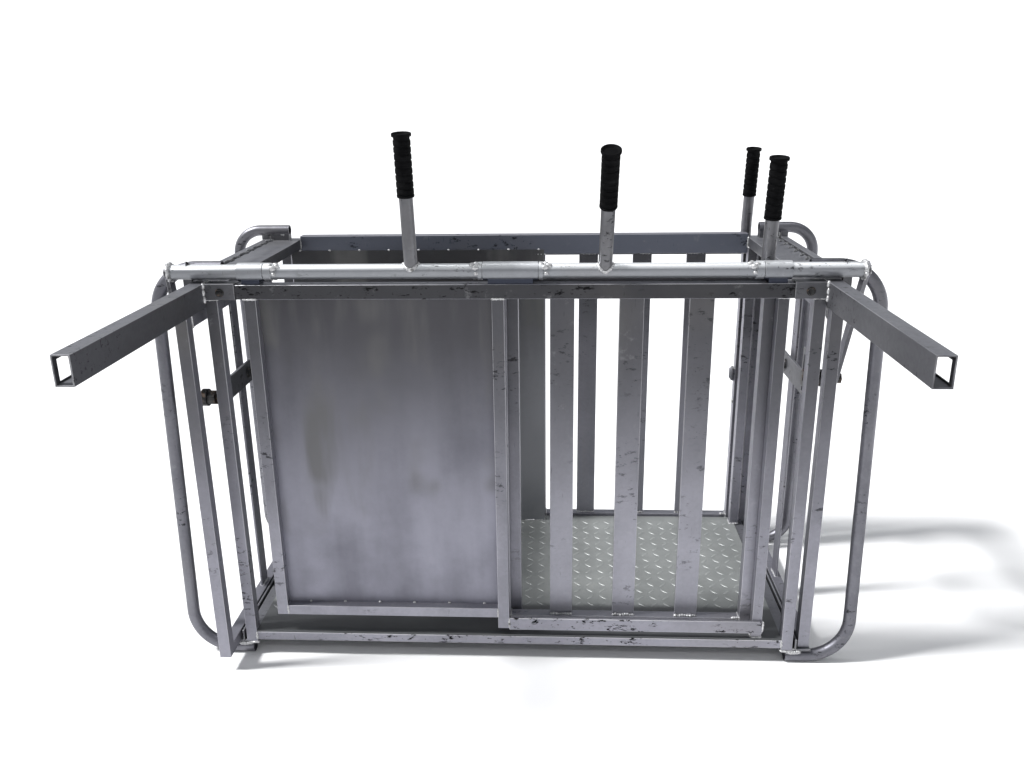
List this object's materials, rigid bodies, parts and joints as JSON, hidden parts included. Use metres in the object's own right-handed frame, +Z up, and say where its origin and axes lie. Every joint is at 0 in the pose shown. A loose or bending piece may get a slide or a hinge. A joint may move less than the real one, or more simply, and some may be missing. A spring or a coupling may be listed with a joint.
{
  "type": "livestock weighing crate",
  "caption": "Open-topped galvanised tube crate for holding small livestock on a scale, with lever-worked sliding end gates, slatted sliding side doors and outrigger arms.",
  "frame": {"origin": "on the ground, under the middle of the overall length and depth, arms and back keeper included", "axes": "+X along the crate to the right as seen from the lever side, +Y to the back, +Z up"},
  "size_m": [1.513, 1.146, 1.1588],
  "materials": {
    "zinc": "hot-dip galvanised tube",
    "sheet": "dull galvanised sheet",
    "tread": "worn galvanised tread plate",
    "bolt": "zinc plated bolt",
    "grip": "ribbed black hand grip"
  },
  "bodies": {
    "frame": {"front_rail": "zinc", "back_rail": "zinc", "end_rail_left": "zinc", "end_rail_right": "zinc", "outer_strip_left": "zinc", "outer_strip_right": "zinc", "post_front_left": "zinc", "post_front_right": "zinc", "post_back_left": "zinc", "post_back_right": "zinc", "front_sill": "zinc", "back_sill": "zinc", "end_sill_left": "zinc", "end_sill_right": "zinc", "floor_joist": "zinc", "floor_plate": "tread", "hoop_front_left": "zinc", "hoop_front_right": "zinc", "hoop_back_left": "zinc", "hoop_back_right": "zinc", "gate_track_left": "zinc", "gate_track_right": "zinc", "arm_left": "zinc", "arm_right": "zinc", "arm_bolt_left": "bolt", "arm_bolt_right": "bolt", "bearing_left": "zinc", "bearing_mid": "zinc", "bearing_right": "zinc", "front_panel_frame": "zinc", "front_sheet": "sheet", "front_track": "zinc", "front_close_post": "zinc", "front_keeper": "zinc", "front_inner_post": "zinc", "back_sheet": "sheet", "back_mid_post": "zinc", "back_close_post": "zinc", "back_track": "zinc", "back_keeper": "zinc"},
    "left_shaft": {"shaft_left": "zinc", "lever_left": "zinc", "lever_grip_left": "grip", "crank_left": "zinc", "crank_pin_left": "bolt"},
    "right_shaft": {"shaft_right": "zinc", "lever_right": "zinc", "lever_grip_right": "grip", "crank_right": "zinc", "crank_pin_right": "bolt"},
    "left_gate": {"gate_left": "zinc", "gate_bar_left": "zinc"},
    "right_gate": {"gate_right": "zinc", "gate_bar_right": "zinc"},
    "front_slide_door": {"front_door": "zinc", "front_door_handle": "zinc", "front_door_grip": "grip"},
    "back_slide_door": {"back_door": "zinc", "back_door_handle": "zinc", "back_door_grip": "grip"}
  },
  "joints": [
    {"name": "left_shaft_turn", "type": "hinge", "parent": "frame", "child": "left_shaft", "pos_m": [-0.3, -0.048, 0.889], "axis": [1, 0, 0], "range_deg": [-48.5, 17.5]},
    {"name": "left_gate_slide", "type": "slide", "parent": "frame", "child": "left_gate", "axis": [0, 1, 0], "range_m": [-0.2307, 0.0836]},
    {"name": "right_shaft_turn", "type": "hinge", "parent": "frame", "child": "right_shaft", "pos_m": [0.3, -0.048, 0.889], "axis": [1, 0, 0], "range_deg": [-64.5, 1.5]},
    {"name": "right_gate_slide", "type": "slide", "parent": "frame", "child": "right_gate", "axis": [0, 1, 0], "range_m": [-0.3067, 0.0076]},
    {"name": "front_door_slide", "type": "slide", "parent": "frame", "child": "front_slide_door", "axis": [1, 0, 0], "range_m": [-0.5, 0]},
    {"name": "back_door_slide", "type": "slide", "parent": "frame", "child": "back_slide_door", "axis": [1, 0, 0], "range_m": [-0.5, 0]}
  ],
  "couplings": [
    {"joint": "left_gate_slide", "follows": "left_shaft_turn", "m_per_rad": 0.272},
    {"joint": "right_gate_slide", "follows": "right_shaft_turn", "m_per_rad": 0.272}
  ]
}
